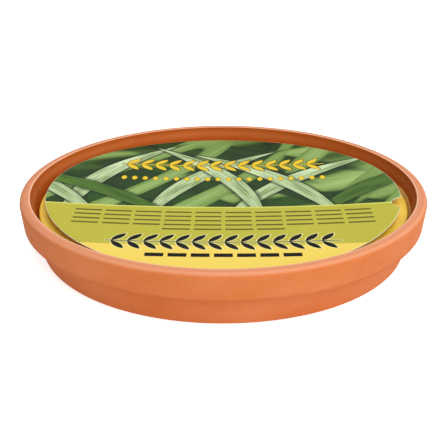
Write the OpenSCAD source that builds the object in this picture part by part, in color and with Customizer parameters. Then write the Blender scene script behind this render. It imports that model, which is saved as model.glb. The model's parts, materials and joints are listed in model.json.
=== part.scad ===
// Garden candle in a low terracotta saucer, under a round printed card
// The origin is the centre of the foot, +Z is up and the front of the card faces -Y

/* [Saucer] */
// Outer diameter of the rim band
rim_d = 230; // [190:1:280]
// Height from the foot to the flat top of the rim
saucer_h = 33; // [29:0.5:40]
// Width of the rim, from its outer face to its inner edge
rim_w = 6; // [5:0.1:8]
// Height of the square band that forms the rim
band_h = 15.6; // [10:0.1:20]
// How far the band draws in from its top to its lower edge
band_draft = 1.4; // [0.5:0.1:2.5]
// Width of the step under the band
step_w = 4.9; // [3:0.1:6]
// How far the lower wall draws in from the step to the foot
wall_draft = 4.9; // [2:0.1:8]
// How far the inner wall draws in from the rim to the floor
inner_draft = 8; // [5:0.1:12]
// Height of the floor above the surface that the saucer stands on
floor_h = 6.3; // [5:0.1:8]
// Depth of the shallow recess under the floor
recess_h = 1; // [0.5:0.1:2]
// Width of the flat foot ring round the recess
foot_w = 9; // [5:0.5:20]

/* [Saucer edges] */
// Rounding of the outer top edge of the rim
rim_round = 2.8; // [1:0.1:3.5]
// Rounding of the inner edge of the rim
inner_round = 1; // [0.5:0.1:1.5]
// Rounding of the lower edge of the band
band_round = 0.9; // [0.4:0.1:2]
// Fillet between the lower wall and the band
step_fillet = 1.4; // [0.5:0.1:2.5]
// Rounding of the foot
foot_round = 2.4; // [1:0.1:4]
// Fillet between the inner wall and the floor
floor_fillet = 8; // [4:0.5:12]

/* [Wax] */
// How far the top of the wax lies below the top of the rim
wax_drop = 8.9; // [7:0.1:14]
// Gap that the wax leaves to the wall as it cools and shrinks
wax_gap = 0.9; // [0.3:0.1:2]
// Rounding of the edge of the wax
wax_round = 1.2; // [0.5:0.1:2]

/* [Wicks] */
// Radius of the circle on which the wicks stand
wick_ring_r = 45; // [30:1:60]
// Width of the flat braid
wick_w = 3.2; // [2.4:0.1:5]
// Thickness of the flat braid
wick_t = 1.5; // [1:0.1:2]
// Inside radius of the fold where the wick is pressed over
fold_r = 0.2; // [0.1:0.05:0.4]
// Length of the folded tip
tip_l = 12; // [8:1:20]
// Clearance between the braid and what holds it
wick_fit = 0.05; // [0.02:0.01:0.1]
// Clearance between a folded tip, the wax below it and the card that rests on it
rest_gap = 0.1; // [0.05:0.05:0.3]

/* [Sustainers] */
// Diameter of the stamped tin foot
sustainer_d = 20; // [14:1:30]
// Thickness of the tin
tin_t = 0.4; // [0.3:0.05:0.8]
// Height of the neck that is crimped on the wick
neck_h = 4.5; // [3:0.5:7]

/* [Card] */
// Gap between the edge of the card and the inner edge of the rim
card_gap = 8; // [5:0.5:15]
// Thickness of the card
card_t = 0.4; // [0.3:0.05:0.6]
// How far the left and right edges of the card curl up
card_lift = 3.75; // [2:0.25:5]
// Radius of the finger notch at the edge of the card
notch_r = 8; // [6:0.5:10]
// Depth of the finger notch
notch_depth = 5.3; // [3:0.1:7]
// Direction of the finger notch, from the right towards the front
notch_angle = 11.3; // [0:0.1:45]

/* [Print fields] */
// Radius of the card that the print is drawn for, before it is fitted to the card
art_r = 101; // [90:1:120]
// Thickness of the ink
ink_t = 0.06; // [0.04:0.01:0.1]
// Height of the yellow field at the near edge of the card
yellow_h = 31.5; // [28:0.5:36]
// Height of the olive field above the yellow one
olive_h = 51; // [40:1:56]
// Height of the light rule along the picture's lower edge
rule_h = 1.2; // [0.6:0.1:2]
// Width of a long leaf in the picture
blade_w = 12; // [8:0.5:14]
// Length of a long leaf
blade_l = 140; // [110:1:160]
// How far the middle of a long leaf bows sideways
blade_bow = 15; // [11:0.5:25]
// Distance between the roots of two long leaves
root_pitch = 22; // [18:0.5:26]
// How far below the picture's lower edge the long leaves start
root_depth = 24; // [18:0.5:30]

/* [Print ornaments] */
// Length of the gold garland
gold_l = 126; // [90:1:140]
// Length of a leaf of the gold garland
gold_leaf_l = 12; // [8:0.5:14]
// Distance between the picture's lower edge and the middle of the gold garland
gold_up = 68; // [60:1:76]
// Distance between the gold garland and the row of small leaves under it
small_drop = 24; // [20:0.5:28]
// Length of a small leaf
small_leaf_l = 6.5; // [4:0.5:8]
// Length of the dark garland
dark_l = 121; // [90:1:130]
// Length of a leaf of the dark garland
dark_leaf_l = 11.5; // [8:0.5:12]
// Distance between the near edge of the card and the middle of the dark garland
dark_up = 35.5; // [33:0.5:40]
// Distance between the picture's lower edge and the first row of dashes
dash_drop = 8; // [5:0.5:10]
// Distance between two rows of dashes
dash_pitch = 5.7; // [5:0.1:6.5]
// Height of a dash
dash_h = 1.8; // [1:0.1:2.5]
// Length of a row of dashes
dash_l = 162; // [140:1:170]
// Gap between two dashes
dash_gap = 2.2; // [1.5:0.1:4]
// Length of the short row of dashes in the yellow field
low_dash_l = 78; // [60:1:90]
// Height of the dashes in the yellow field
low_dash_h = 4; // [3:0.5:6]
// Distance between the near edge of the card and the dashes in the yellow field
low_dash_up = 20; // [18:0.5:24]

/* [Hidden] */

// Segments of a whole circle, and of a rounded corner in a profile
turn_fn = 128;
corner_steps = 7;
// Segments of the wide cylinders that the curled card is cut from
curl_fn = 720;
// How far a cutting shape runs past what it cuts
overcut = 1;

rim_r = rim_d / 2;
band_z = saucer_h - band_h;
band_r = rim_r - band_draft;
step_r = band_r - step_w;
foot_r = step_r - wall_draft;
foot_in_r = foot_r - foot_round - foot_w;
recess_slope = 1.5;
recess_round = 0.5;
inner_r = rim_r - rim_w;
floor_r = inner_r - inner_draft;

wax_z = saucer_h - wax_drop;
wick_count = 3;
first_wick_angle = 90;
fold_mid_r = fold_r + wick_t / 2;

card_r = inner_r - card_gap;
card_under_z = wax_z + wick_t + 2 * rest_gap;
curl_r = (card_r * card_r + card_lift * card_lift) / (2 * card_lift);
curl_z = card_under_z + card_t + curl_r;

olive_y = yellow_h - art_r;
picture_y = olive_y + olive_h;

// The long leaves lean to the right and to the left in turn, each by its own angle
blade_count = 9;
blade_fn = 360;
lean_least = 24;
lean_span = 40;
golden = 0.618;

gold_y = picture_y + gold_up;
small_count = 20;
dark_y = dark_up - art_r;
stem_share = 1 / 12;
garland_tilt = 52;
garland_pitch_share = 0.72;
leaf_slimness = 3;
small_slimness = 2;

// Rows of dashes, each as its number of dashes
dash_rows = [10, 10, 10, 10, 4];
low_dash_count = 7;

// Profiles and outlines

function unit(v) = v / norm(v);
function turned(v, a) = [v.x * cos(a) - v.y * sin(a), v.x * sin(a) + v.y * cos(a)];
function place(corner) = [corner[0], corner[1]];

// A corner of a profile as the points of its rounding
function arc(before, at, after, radius) =
    let (u = unit(before - at))
    let (v = unit(after - at))
    let (half = acos(u * v) / 2)
    let (middle = at + unit(u + v) * radius / sin(half))
    let (start = at + u * radius / tan(half) - middle)
    let (turn = sign(cross(-u, v)) * (180 - 2 * half))
    [for (i = [0 : corner_steps]) middle + turned(start, turn * i / corner_steps)];

// A closed outline from corners, each [r, z, rounding]
function rounded(corners) =
    let (n = len(corners))
    [
        for (i = [0 : n - 1])
        let (before = place(corners[(i + n - 1) % n]))
        let (at = place(corners[i]))
        let (after = place(corners[(i + 1) % n]))
        each corners[i][2] == 0 ? [at] : arc(before, at, after, corners[i][2])
    ];

// Radius of the inner wall at a height
function wall_r(z) = inner_r - inner_draft * (saucer_h - z) / (saucer_h - floor_h);

// Height of the card's underside at a distance from its middle line
function card_under(x) = curl_z - sqrt(pow(curl_r + card_t, 2) - x * x);

// Which way a long leaf leans, and its own share of the range of leans
function side(i) = i % 2 == 0 ? 1 : -1;
function vary(i) = i * golden - floor(i * golden);

function wick_angle(i) = first_wick_angle + 360 * (i - 1) / wick_count;
function wick_place(i) = wick_ring_r * [cos(wick_angle(i)), sin(wick_angle(i))];

module turned_solid(corners) {
    rotate_extrude($fn = turn_fn)
        polygon(rounded(corners));
}

// The section of the flat braid, with a clearance round it
module braid_section(grow = 0) {
    square([wick_w - wick_t, wick_t + 2 * grow], center = true);
    for (side = [-1, 1])
        translate([side * (wick_w - wick_t) / 2, 0])
            circle(d = wick_t + 2 * grow, $fn = 24);
}

// The pointed oval of a leaf, along X
module leaf(l, w) {
    bow_r = (l * l + w * w) / (4 * w);
    intersection_for (side = [-1, 1])
        translate([0, side * (bow_r - w / 2)])
            circle(r = bow_r, $fn = 96);
}

// A disc whose edge passes through the origin and [l, 0] and rises to a height between them
module disc_through_ends(l, rise) {
    r = (l * l / 4 + rise * rise) / (2 * rise);
    translate([l / 2, rise - r])
        circle(r = r, $fn = blade_fn);
}

// A long leaf as a crescent that starts at the origin along X
module blade(l, w, bow) {
    difference() {
        disc_through_ends(l, bow + w / 2);
        disc_through_ends(l, bow - w / 2);
    }
}

// A stem with leaves on both sides, centred on the origin
module garland(l, leaf_l) {
    pitch = leaf_l * garland_pitch_share;
    count = floor((l - leaf_l) / pitch);
    stem_h = leaf_l * stem_share;
    reach = leaf_l / 2 * sin(garland_tilt) + stem_h / 4;
    square([l, stem_h], center = true);
    for (i = [0 : count], side = [-1, 1])
        translate([(i - count / 2) * pitch, side * reach])
            rotate(side * garland_tilt)
                leaf(leaf_l, leaf_l / leaf_slimness);
}

module dash_row(count, l, h, gap) {
    dash = (l + gap) / count - gap;
    for (i = [0 : count - 1])
        translate([i * (dash + gap) - l / 2, -h / 2])
            square([dash, h]);
}

module card_outline() {
    difference() {
        circle(r = card_r, $fn = turn_fn);
        rotate(-notch_angle)
            translate([card_r - notch_depth + notch_r, 0])
                circle(r = notch_r, $fn = turn_fn);
    }
}

// A flat outline given the card's curl, between two distances above the card's top face
module curled(low, high) {
    intersection() {
        translate([0, 0, curl_z])
            rotate([90, 0, 0])
                difference() {
                    cylinder(r = curl_r - low, h = 2 * card_r + overcut, center = true, $fn = curl_fn);
                    cylinder(r = curl_r - high, h = 2 * (card_r + overcut), center = true, $fn = curl_fn);
                }
        translate([0, 0, card_under_z - overcut])
            linear_extrude(card_lift + card_t + 4 * overcut)
                intersection() {
                    card_outline();
                    children();
                }
    }
}

// A field of ink, fitted from the size it is drawn at to the card
module ink() {
    curled(0, ink_t)
        scale(card_r / art_r)
            children();
}

// A field as wide as the print, between two distances from its middle
module strip(low, high) {
    translate([-art_r, low])
        square([2 * art_r, high - low]);
}

module blade_shapes() {
    for (i = [0 : blade_count - 1])
        translate([(i - (blade_count - 1) / 2) * root_pitch, picture_y - root_depth])
            rotate(90 - side(i) * (lean_least + lean_span * vary(i)))
                scale([1, side(i)])
                    blade(blade_l, blade_w, blade_bow);
}

module gold_shapes() {
    translate([0, gold_y])
        garland(gold_l, gold_leaf_l);
    for (i = [0 : small_count - 1])
        translate([(i - (small_count - 1) / 2) * gold_l / small_count, gold_y - small_drop])
            rotate(90)
                leaf(small_leaf_l, small_leaf_l / small_slimness);
}

module dark_shapes() {
    translate([0, dark_y])
        garland(dark_l, dark_leaf_l);
    translate([0, low_dash_up - art_r])
        dash_row(low_dash_count, low_dash_l, low_dash_h, dash_gap);
}

module dash_shapes() {
    for (row = [0 : len(dash_rows) - 1])
        translate([0, picture_y - dash_drop - row * dash_pitch])
            dash_row(dash_rows[row], dash_l * dash_rows[row] / dash_rows[0], dash_h, dash_gap);
}

// Pieces

module saucer() {
    color("#dd8350")
        turned_solid([
            [0, recess_h, 0],
            [foot_in_r - recess_slope, recess_h, recess_round],
            [foot_in_r, 0, recess_round],
            [foot_r, 0, foot_round],
            [step_r, band_z, step_fillet],
            [band_r, band_z, band_round],
            [rim_r, saucer_h - rim_round, 0],
            [rim_r, saucer_h, rim_round],
            [inner_r, saucer_h, inner_round],
            [floor_r, floor_h, floor_fillet],
            [0, floor_h, 0]
        ]);
}

module wax_fill() {
    color("#d8b44a")
        difference() {
            turned_solid([
                [0, floor_h, 0],
                [floor_r - wax_gap, floor_h, floor_fillet],
                [wall_r(wax_z) - wax_gap, wax_z, wax_round],
                [0, wax_z, 0]
            ]);
            for (i = [1 : wick_count])
                translate([wick_place(i).x, wick_place(i).y, floor_h - overcut])
                    wick_pocket();
        }
}

// The space that a wick and its sustainer leave in the wax
module wick_pocket() {
    linear_extrude(saucer_h)
        braid_section(wick_fit);
    linear_extrude(neck_h + wick_fit + overcut)
        braid_section(tin_t + 2 * wick_fit);
    cylinder(d = sustainer_d + 2 * wick_fit, h = tin_t + wick_fit + overcut, $fn = turn_fn);
}

module sustainer(i) {
    color("#b9b9b4")
        translate([wick_place(i).x, wick_place(i).y, floor_h])
            difference() {
                union() {
                    cylinder(d = sustainer_d, h = tin_t, $fn = turn_fn);
                    linear_extrude(neck_h)
                        braid_section(tin_t + wick_fit);
                }
                translate([0, 0, -overcut])
                    linear_extrude(neck_h + 2 * overcut)
                        braid_section(wick_fit);
            }
}

module wick(i) {
    tip_z = card_under(wick_place(i).x) - rest_gap - wick_t / 2;
    color("#efe6cf")
        translate(wick_place(i)) {
            translate([0, 0, floor_h])
                linear_extrude(tip_z - fold_mid_r - floor_h)
                    braid_section();
            translate([0, -fold_mid_r, tip_z - fold_mid_r])
                rotate([90, 0, 90])
                    rotate_extrude(angle = 90, $fn = 48)
                        translate([fold_mid_r, 0])
                            rotate(90)
                                braid_section();
            translate([0, -fold_mid_r, tip_z])
                rotate([90, 0, 0])
                    linear_extrude(tip_l)
                        braid_section();
        }
}

module label_card() {
    color("#f4efe2")
        curled(-card_t, 0)
            circle(r = card_r + overcut, $fn = turn_fn);
}

module print_picture() {
    color("#5f8a3a")
        ink()
            difference() {
                strip(picture_y, art_r);
                blade_shapes();
                gold_shapes();
            }
}

module print_blades() {
    color("#b9d58c")
        ink()
            difference() {
                intersection() {
                    strip(picture_y, art_r);
                    blade_shapes();
                }
                gold_shapes();
            }
}

module print_rule() {
    color("#e4e07a")
        ink()
            strip(picture_y - rule_h, picture_y);
}

module print_olive() {
    color("#c0bb55")
        ink()
            difference() {
                strip(olive_y, picture_y - rule_h);
                dash_shapes();
                dark_shapes();
            }
}

module print_yellow() {
    color("#f5d86c")
        ink()
            difference() {
                strip(-art_r, olive_y);
                dark_shapes();
            }
}

module print_gold_garland() {
    color("#e8c13a")
        ink()
            gold_shapes();
}

module print_dark_garland() {
    color("#2e2a17")
        ink()
            dark_shapes();
}

module print_dashes() {
    color("#5b5a20")
        ink()
            dash_shapes();
}

saucer();
wax_fill();
sustainer(1);  // sustainer_1
sustainer(2);  // sustainer_2
sustainer(3);  // sustainer_3
wick(1);  // wick_1
wick(2);  // wick_2
wick(3);  // wick_3
label_card();
print_picture();
print_blades();
print_rule();
print_olive();
print_yellow();
print_gold_garland();
print_dark_garland();
print_dashes();
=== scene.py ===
"""Dresses a low garden candle: a terracotta saucer of wax under a round printed card.

All places are in metres in the frame's own axes: the origin is the centre of the foot, +Z is
up, the near edge of the card faces -Y and its finger notch is on the right, towards +X.
"""

import json
import logging
import math
from dataclasses import dataclass
from enum import Enum
from typing import Any, Callable, Iterator, Sequence

import bmesh
import bpy
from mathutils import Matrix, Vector

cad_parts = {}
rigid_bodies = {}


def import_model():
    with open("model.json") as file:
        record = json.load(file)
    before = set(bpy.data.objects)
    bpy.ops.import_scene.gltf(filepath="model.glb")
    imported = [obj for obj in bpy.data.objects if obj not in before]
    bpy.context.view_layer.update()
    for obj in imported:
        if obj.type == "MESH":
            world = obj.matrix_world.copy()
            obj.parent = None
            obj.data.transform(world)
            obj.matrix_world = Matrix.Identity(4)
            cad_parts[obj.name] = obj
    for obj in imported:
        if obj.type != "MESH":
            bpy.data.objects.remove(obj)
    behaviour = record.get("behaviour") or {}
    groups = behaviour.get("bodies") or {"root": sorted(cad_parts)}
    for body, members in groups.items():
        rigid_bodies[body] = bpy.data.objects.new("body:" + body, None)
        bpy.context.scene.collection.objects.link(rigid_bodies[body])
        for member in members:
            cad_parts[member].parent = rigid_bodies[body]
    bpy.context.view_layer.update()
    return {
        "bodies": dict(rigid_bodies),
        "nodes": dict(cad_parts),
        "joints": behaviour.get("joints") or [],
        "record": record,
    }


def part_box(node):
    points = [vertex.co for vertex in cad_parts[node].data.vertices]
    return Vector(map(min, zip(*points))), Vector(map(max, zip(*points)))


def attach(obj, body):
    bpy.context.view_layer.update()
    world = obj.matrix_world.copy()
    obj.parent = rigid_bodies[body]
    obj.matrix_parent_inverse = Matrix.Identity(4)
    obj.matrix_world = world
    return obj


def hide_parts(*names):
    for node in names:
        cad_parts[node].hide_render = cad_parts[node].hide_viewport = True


LOG = logging.getLogger("garden_candle")
MM = 0.001

Colour = tuple[float, float, float, float]
Point2 = tuple[float, float]
Point3 = tuple[float, float, float]
Profile = list[Point2]
Corner = tuple[float, float, float]

WHITE: Colour = (1.0, 1.0, 1.0, 1.0)
BLACK: Colour = (0.0, 0.0, 0.0, 1.0)
ORIGIN: Point3 = (0.0, 0.0, 0.0)
EVEN: Point3 = (1.0, 1.0, 1.0)


def srgb(red: int, green: int, blue: int) -> Colour:
    """Turns a colour as a screen shows it into the linear colour that shaders take.

    Args:
        red: The red channel, from 0 to 255.
        green: The green channel, from 0 to 255.
        blue: The blue channel, from 0 to 255.

    Returns:
        The linear colour, opaque.
    """

    def linear(channel: int) -> float:
        """Turns one channel from 0 to 255 into a linear one."""
        share = channel / 255
        return share / 12.92 if share <= 0.04045 else ((share + 0.055) / 1.055) ** 2.4

    return (linear(red), linear(green), linear(blue), 1.0)


class Kind(Enum):
    """The kinds of socket that the groups and trees here take and give."""

    VALUE = "NodeSocketFloat"
    COUNT = "NodeSocketInt"
    COLOUR = "NodeSocketColor"
    VECTOR = "NodeSocketVector"
    GEOMETRY = "NodeSocketGeometry"
    MATERIAL = "NodeSocketMaterial"

    @classmethod
    def of(cls, default: float | Point3 | Colour) -> "Kind":
        """Gives the kind of socket that holds a number, a place or a colour."""
        return cls.VALUE if isinstance(default, float) else {3: cls.VECTOR, 4: cls.COLOUR}[len(default)]


class Term:
    """What a socket gives, so that a tree's sums are written as plain arithmetic."""

    def __init__(self, graph: "Graph", socket: bpy.types.NodeSocket) -> None:
        """Keeps the graph and the socket."""
        self.graph = graph
        self.socket = socket

    def __add__(self, other: Any) -> "Term":
        """Gives the sum."""
        return self.graph.math("ADD", self, other)

    def __sub__(self, other: Any) -> "Term":
        """Gives the difference."""
        return self.graph.math("SUBTRACT", self, other)

    def __rsub__(self, other: float) -> "Term":
        """Gives the difference from a plain number."""
        return self.graph.math("SUBTRACT", other, self)

    def __mul__(self, other: Any) -> "Term":
        """Gives the product."""
        return self.graph.math("MULTIPLY", self, other)

    def __truediv__(self, other: Any) -> "Term":
        """Gives the quotient."""
        return self.graph.math("DIVIDE", self, other)

    def __rtruediv__(self, other: float) -> "Term":
        """Gives a plain number divided by this."""
        return self.graph.math("DIVIDE", other, self)

    def __neg__(self) -> "Term":
        """Gives the value with its sign turned."""
        return self.graph.math("MULTIPLY", self, -1.0)

    def __abs__(self) -> "Term":
        """Gives the value without its sign."""
        return self.graph.math("ABSOLUTE", self)


class Graph:
    """Adds nodes to a tree and joins them, with plain values or terms as their inputs."""

    def __init__(self, tree: bpy.types.NodeTree) -> None:
        """Starts on a shader or geometry tree."""
        self.tree = tree

    def feed(self, socket: bpy.types.NodeSocket, value: Any) -> None:
        """Links a term to an input, or sets the input's own value.

        Args:
            socket: The input.
            value: A term, or a plain value of the input's kind.
        """
        if isinstance(value, Term):
            self.tree.links.new(value.socket, socket)
        else:
            socket.default_value = value

    def add(self, kind: str, inputs: dict[Any, Any] | None = None, **settings: Any) -> dict[Any, Term]:
        """Adds one node.

        Args:
            kind: The node's type name.
            inputs: What its inputs take, by name or number.
            **settings: The node's own settings.

        Returns:
            What the node gives, by name and by number.
        """
        node = self.tree.nodes.new(kind)
        for name, value in settings.items():
            setattr(node, name, value)
        for key, value in (inputs or {}).items():
            self.feed(node.inputs[key], value)
        terms = [Term(self, socket) for socket in node.outputs]
        return {socket.name: term for socket, term in zip(node.outputs, terms)} | dict(enumerate(terms))

    def math(self, operation: str, *values: Any, clamp: bool = False) -> Term:
        """Works out a value from one to three others.

        Args:
            operation: The maths node's operation.
            *values: Its inputs.
            clamp: Whether the result is kept from 0 to 1.

        Returns:
            The result.
        """
        return self.add("ShaderNodeMath", dict(enumerate(values)), operation=operation, use_clamp=clamp)[0]

    def vector(self, operation: str, *values: Any, scale: Any = None) -> Term:
        """Works out a vector, or the value of a dot product, length or distance.

        Args:
            operation: The vector maths node's operation.
            *values: Its vector inputs.
            scale: The factor of a SCALE.

        Returns:
            The result.
        """
        inputs: dict[Any, Any] = dict(enumerate(values))
        if scale is not None:
            inputs["Scale"] = scale
        gives_value = operation in ("DOT_PRODUCT", "LENGTH", "DISTANCE")
        node = self.add("ShaderNodeVectorMath", inputs, operation=operation)
        return node["Value" if gives_value else "Vector"]

    def parts(self, vector: Term) -> tuple[Term, Term, Term]:
        """Splits a vector into its three parts."""
        node = self.add("ShaderNodeSeparateXYZ", {0: vector})
        return node[0], node[1], node[2]

    def join(self, x: Any = 0.0, y: Any = 0.0, z: Any = 0.0) -> Term:
        """Joins three values into a vector."""
        return self.add("ShaderNodeCombineXYZ", {0: x, 1: y, 2: z})[0]

    def blend(self, share: Any, under: Any, over: Any) -> Term:
        """Mixes two colours, with the second one showing by a share."""
        return self.add("ShaderNodeMix", {0: share, 6: under, 7: over}, data_type="RGBA")[2]

    def between(self, share: Any, low: Any, high: Any) -> Term:
        """Gives the value that lies at a share of the way from one value to another."""
        return self.add("ShaderNodeMix", {0: share, 2: low, 3: high}, data_type="FLOAT")[0]

    def step(self, value: Any, low: Any, high: Any) -> Term:
        """Rises smoothly from 0 to 1 as a value goes from one limit to another."""
        inputs = {"Value": value, 1: low, 2: high}
        return self.add("ShaderNodeMapRange", inputs, interpolation_type="SMOOTHSTEP")["Result"]

    def near(self, value: Term, at: float, inside: float, outside: float) -> Term:
        """Is 1 where a value lies close to a place, and 0 away from it.

        Args:
            value: The value to read.
            at: The place.
            inside: The distance within which the result is 1.
            outside: The distance past which the result is 0.

        Returns:
            The result, from 0 to 1.
        """
        return 1.0 - self.step(abs(value - at), inside, outside)

    def noise(self, point: Any, scale: Any, detail: float = 2.0, rough: float = 0.5) -> Term:
        """Gives smooth noise around 0.5 at a point.

        Args:
            point: Where it is read.
            scale: How many bumps there are to a unit.
            detail: How many finer layers are added.
            rough: How strong the finer layers are.

        Returns:
            The noise value.
        """
        inputs = {"Vector": point, "Scale": scale, "Detail": detail, "Roughness": rough}
        return self.add("ShaderNodeTexNoise", inputs, noise_dimensions="3D")[0]

    def place(self, group: bpy.types.NodeTree, **inputs: Any) -> dict[Any, Term]:
        """Adds a shader group.

        Args:
            group: The group's tree.
            **inputs: What its inputs take, with _ for each space in a name.

        Returns:
            What the group gives, by name and by number.
        """
        spaced_names = {label.replace("_", " "): value for label, value in inputs.items()}
        return self.add("ShaderNodeGroup", spaced_names, node_tree=group)


Body = Callable[[Graph, dict[str, Term]], dict[str, Term]]


def shader_group(name: str, body: Body, gives: dict[str, Kind], **defaults: Any) -> bpy.types.NodeTree:
    """Builds a shader node group.

    Args:
        name: The group's name.
        body: Adds the nodes between the inputs and the outputs.
        gives: Each output's kind.
        **defaults: Each input's default, with _ for each space in its name.

    Returns:
        The group's tree.
    """
    tree = bpy.data.node_groups.new(name, "ShaderNodeTree")
    for label, default in defaults.items():
        socket = tree.interface.new_socket(
            label.replace("_", " "), in_out="INPUT", socket_type=Kind.of(default).value)
        socket.default_value = default
    for label, kind in gives.items():
        tree.interface.new_socket(label, in_out="OUTPUT", socket_type=kind.value)
    graph = Graph(tree)
    results = body(graph, graph.add("NodeGroupInput"))
    end = tree.nodes.new("NodeGroupOutput")
    for label, term in results.items():
        graph.feed(end.inputs[label], term)
    return tree


class Effects:
    """The shader groups that the finishes share, each built once."""

    def __init__(self) -> None:
        """Builds every group."""
        value, colour = Kind.VALUE, {"Colour": Kind.COLOUR}
        self.mottle = shader_group(
            "mottle", self._mottle, {"Value": value}, Point=ORIGIN, Size=0.02, Stretch=EVEN, Sharpness=1.0)
        self.grain = shader_group(
            "grain", self._grain, {"Light": value, "Dark": value, "Height": value},
            Point=ORIGIN, Size=0.0005, Pits=0.5)
        self.rings = shader_group(
            "turning_rings", self._rings, {"Height": value}, Point=ORIGIN, Pitch=0.001)
        self.leaf = shader_group(
            "long_leaf", self._leaf, colour, Under=BLACK, Point=ORIGIN, Root=ORIGIN, Tip=ORIGIN,
            Width=12.0, Bow=15.0, Softness=0.2, Light=WHITE, Dark=BLACK, Shade=BLACK, Shadow=0.5)
        self.streaks = shader_group(
            "leaf_streaks", self._streaks, colour, Under=BLACK, Point=ORIGIN, Angle=0.5, Width=10.0,
            Length=90.0, Start=0.5, Softness=0.03, Light=WHITE, Dark=BLACK, Seed=0.0)
        self.garland = shader_group(
            "garland", self._garland, {"Distance": value}, Point=ORIGIN, Leaves=14.0, Length=126.0,
            Leaf_Length=12.0, Slimness=3.0, Pitch=8.6, Tilt=0.9, Stem=1.0)
        self.dashes = shader_group(
            "dash_row", self._dashes, {"Distance": value}, Point=ORIGIN, Count=10.0, Pitch=16.0,
            Gap=2.2, Height=1.8)
        self.inked = shader_group(
            "inked", self._inked, colour, Under=BLACK, Distance=1.0, Fill=WHITE, Outline=BLACK,
            Outline_Width=0.6, Softness=0.15)

    @staticmethod
    def _mottle(g: Graph, i: dict[str, Term]) -> dict[str, Term]:
        """Slow, uneven change over a surface, from 0 to 1.

        Args:
            g: The group's graph.
            i: The group's inputs.

        Returns:
            The group's outputs.
        """
        contrast = 2.2
        point = g.vector("MULTIPLY", i["Point"], i["Stretch"])
        raw = g.noise(point, 1.0 / i["Size"], detail=4.0, rough=0.55)
        centred = (raw - 0.5) * (i["Sharpness"] * contrast)
        return {"Value": g.math("ADD", centred, 0.5, clamp=True)}

    @staticmethod
    def _grain(g: Graph, i: dict[str, Term]) -> dict[str, Term]:
        """The fine grain of fired clay: light and dark specks, and the height of grains and pits.

        Args:
            g: The group's graph.
            i: The group's inputs.

        Returns:
            The group's outputs.
        """
        coarseness, shift = 0.38, (0.37, 0.11, 0.23)
        scale = 1.0 / i["Size"]
        fine = g.noise(i["Point"], scale, detail=2.0, rough=0.6)
        shifted = g.vector("ADD", i["Point"], shift)
        coarse = g.noise(shifted, scale * coarseness, detail=1.0)
        pits = g.step(coarse, 0.68, 0.80) * i["Pits"]
        light, dark = g.step(fine, 0.60, 0.72), g.step(coarse, 0.66, 0.76)
        return {"Light": light, "Dark": dark, "Height": fine - pits}

    @staticmethod
    def _rings(g: Graph, i: dict[str, Term]) -> dict[str, Term]:
        """Faint rings left by turning, at uneven distances along the wall and across the floor.

        Args:
            g: The group's graph.
            i: The group's inputs.

        Returns:
            The group's outputs.
        """
        wall_slope = 1.7
        x, y, z = g.parts(i["Point"])
        radius = g.vector("LENGTH", g.join(x, y))
        way = (radius + z * wall_slope) / i["Pitch"]
        drift = g.noise(i["Point"], 14.0, detail=1.0)
        return {"Height": g.noise(g.join(way + drift), 1.0, detail=3.0, rough=0.6)}

    @staticmethod
    def _leaf(g: Graph, i: dict[str, Term]) -> dict[str, Term]:
        """One long leaf with two pointed ends over what lies under it, with its shadow on that.

        Args:
            g: The group's graph.
            i: The group's inputs.

        Returns:
            The group's outputs.
        """
        least_half, shadow_reach = 0.5, 3.4
        patch_share, fold_share, vein_share, rib_share, rim_share = 0.62, 0.34, 1.1, 0.35, 0.45
        run = g.vector("SUBTRACT", i["Tip"], i["Root"])
        length = g.vector("LENGTH", run)
        way = g.vector("NORMALIZE", run)
        sideways = g.vector("CROSS_PRODUCT", (0, 0, 1), way)
        here = g.vector("SUBTRACT", i["Point"], i["Root"])
        along = g.vector("DOT_PRODUCT", here, way) / length
        hump = along * (1.0 - along) * 4.0
        across = g.vector("DOT_PRODUCT", here, sideways) - hump * i["Bow"]
        half = i["Width"] * 0.5 * hump
        outside = abs(across) - half
        mask = 1.0 - g.step(outside, -i["Softness"], i["Softness"])
        share = across / g.math("MAXIMUM", half, least_half)
        # The noise is read in the leaf's own coordinates, so that it is drawn out along the leaf
        patches_at = g.join(along * 3.0, share * 0.9, length * 0.1)
        patches = g.step(g.noise(patches_at, 1.3, detail=2.0), 0.38, 0.66)
        veins_at = g.join(across * 1.5, along * 1.2, length)
        veins = g.noise(veins_at, 1.0, detail=3.0, rough=0.7) - 0.5
        fold = g.step(share, -0.25, 0.25)
        bright = patches * patch_share + fold * fold_share + veins * vein_share
        rib = 1.0 - g.step(abs(across), 0.12, 0.5)
        rim = g.step(outside, -0.75, -0.2) * mask
        bright = g.math("ADD", bright, rib * rib_share + rim * rim_share, clamp=True)
        leaf = g.blend(bright, i["Dark"], i["Light"])
        shadow = 1.0 - g.step(outside, 0.0, i["Softness"] * 2.0 + shadow_reach)
        under = g.blend(shadow * i["Shadow"], i["Under"], i["Shade"])
        return {"Colour": g.blend(mask, under, leaf)}

    @staticmethod
    def _streaks(g: Graph, i: dict[str, Term]) -> dict[str, Term]:
        """A layer of long tapering shapes that all lie one way, each shaded across its width.

        Args:
            g: The group's graph.
            i: The group's inputs.

        Returns:
            The group's outputs.
        """
        bow_length, bow_depth, fine_length = 60.0, 7.0, 45.0
        contrast, fine_middle, fine_share = 3.2, 0.32, 1.1
        start, soft = i["Start"], i["Softness"]
        cos, sin = g.math("COSINE", i["Angle"]), g.math("SINE", i["Angle"])
        along = g.vector("DOT_PRODUCT", i["Point"], g.join(cos, sin))
        across = g.vector("DOT_PRODUCT", i["Point"], g.join(-sin, cos))
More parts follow.
